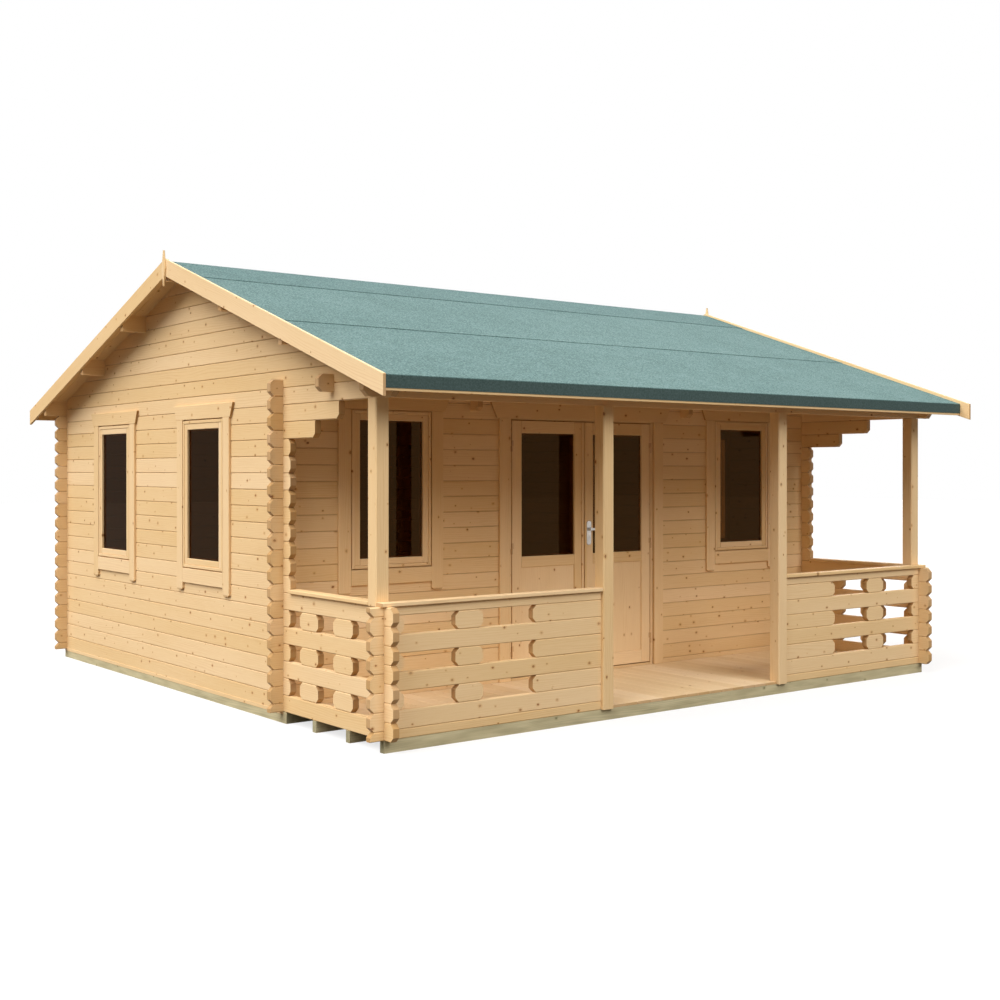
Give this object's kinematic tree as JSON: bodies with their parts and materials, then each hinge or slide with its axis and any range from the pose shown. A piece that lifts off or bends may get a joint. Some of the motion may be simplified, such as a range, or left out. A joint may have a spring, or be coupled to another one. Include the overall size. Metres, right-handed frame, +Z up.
{
  "type": "log cabin",
  "caption": "Log cabin with a gable roof of felt, an open veranda behind log railings, a glazed double door that opens outward and framed windows.",
  "frame": {"origin": "on the ground under the middle of the ridge", "axes": "+X along the ridge to the right, +Y to the back wall away from the veranda, +Z up"},
  "size_m": [5.7988, 5.981, 3.3259],
  "materials": {
    "log_wood": "planed spruce, clear",
    "trim_wood": "planed spruce boards",
    "floor_wood": "planed spruce boards",
    "treated_wood": "pressure treated, sawn",
    "roof_felt": "mineral granules",
    "window_glass": "brown tint",
    "hardware": "satin"
  },
  "bodies": {
    "cabin": {"back_eave_log": "log_wood", "back_felt": "roof_felt", "back_roof_boards": "floor_wood", "back_wall": "log_wood", "centre_posts": "log_wood", "corner_posts": "log_wood", "door_frame": "trim_wood", "door_trim": "trim_wood", "eave_boards": "trim_wood", "finials": "trim_wood", "frame_hinges": "hardware", "front_bearer": "treated_wood", "front_eave_beam": "log_wood", "front_felt": "roof_felt", "front_left_railing": "log_wood", "front_right_railing": "log_wood", "front_roof_boards": "floor_wood", "front_wall_head": "log_wood", "front_wall_left": "log_wood", "front_wall_right": "log_wood", "front_wall_upper": "log_wood", "front_window_frames": "trim_wood", "front_window_panes": "window_glass", "front_window_trim": "trim_wood", "left_bargeboards": "trim_wood", "left_gable_wall": "log_wood", "left_railing_blocks": "log_wood", "left_window_frames": "trim_wood", "left_window_panes": "window_glass", "left_window_trim": "trim_wood", "purlins": "log_wood", "railing_caps": "trim_wood", "ridge_beam": "log_wood", "ridge_felt": "roof_felt", "right_bargeboards": "trim_wood", "right_gable_wall": "log_wood", "right_railing_blocks": "log_wood", "right_window_frames": "trim_wood", "right_window_panes": "window_glass", "right_window_trim": "trim_wood", "room_bearers": "treated_wood", "room_floor": "floor_wood", "room_ties": "log_wood", "veranda_bearers": "treated_wood", "veranda_floor": "floor_wood", "veranda_tie": "log_wood"},
    "left_leaf": {"left_door_leaf": "trim_wood", "left_door_pane": "window_glass", "left_door_hinges": "hardware"},
    "right_leaf": {"right_door_leaf": "trim_wood", "right_door_pane": "window_glass", "right_door_hinges": "hardware", "door_plates": "hardware"},
    "lever": {"door_lever": "hardware"}
  },
  "joints": [
    {"name": "left_door", "type": "hinge", "parent": "cabin", "child": "left_leaf", "pos_m": [-0.7251, -1.4285, 0], "axis": [0, 0, -1], "range_deg": [0, 100]},
    {"name": "right_door", "type": "hinge", "parent": "cabin", "child": "right_leaf", "pos_m": [0.7251, -1.4285, 0], "axis": [0, 0, 1], "range_deg": [0, 100]},
    {"name": "door_lever", "type": "hinge", "parent": "right_leaf", "child": "lever", "pos_m": [0.0495, -1.4025, 1.22598], "axis": [0, 1, 0], "range_deg": [0, 40], "stiffness_Nm_per_rad": 1, "springref_deg": -22.92}
  ]
}
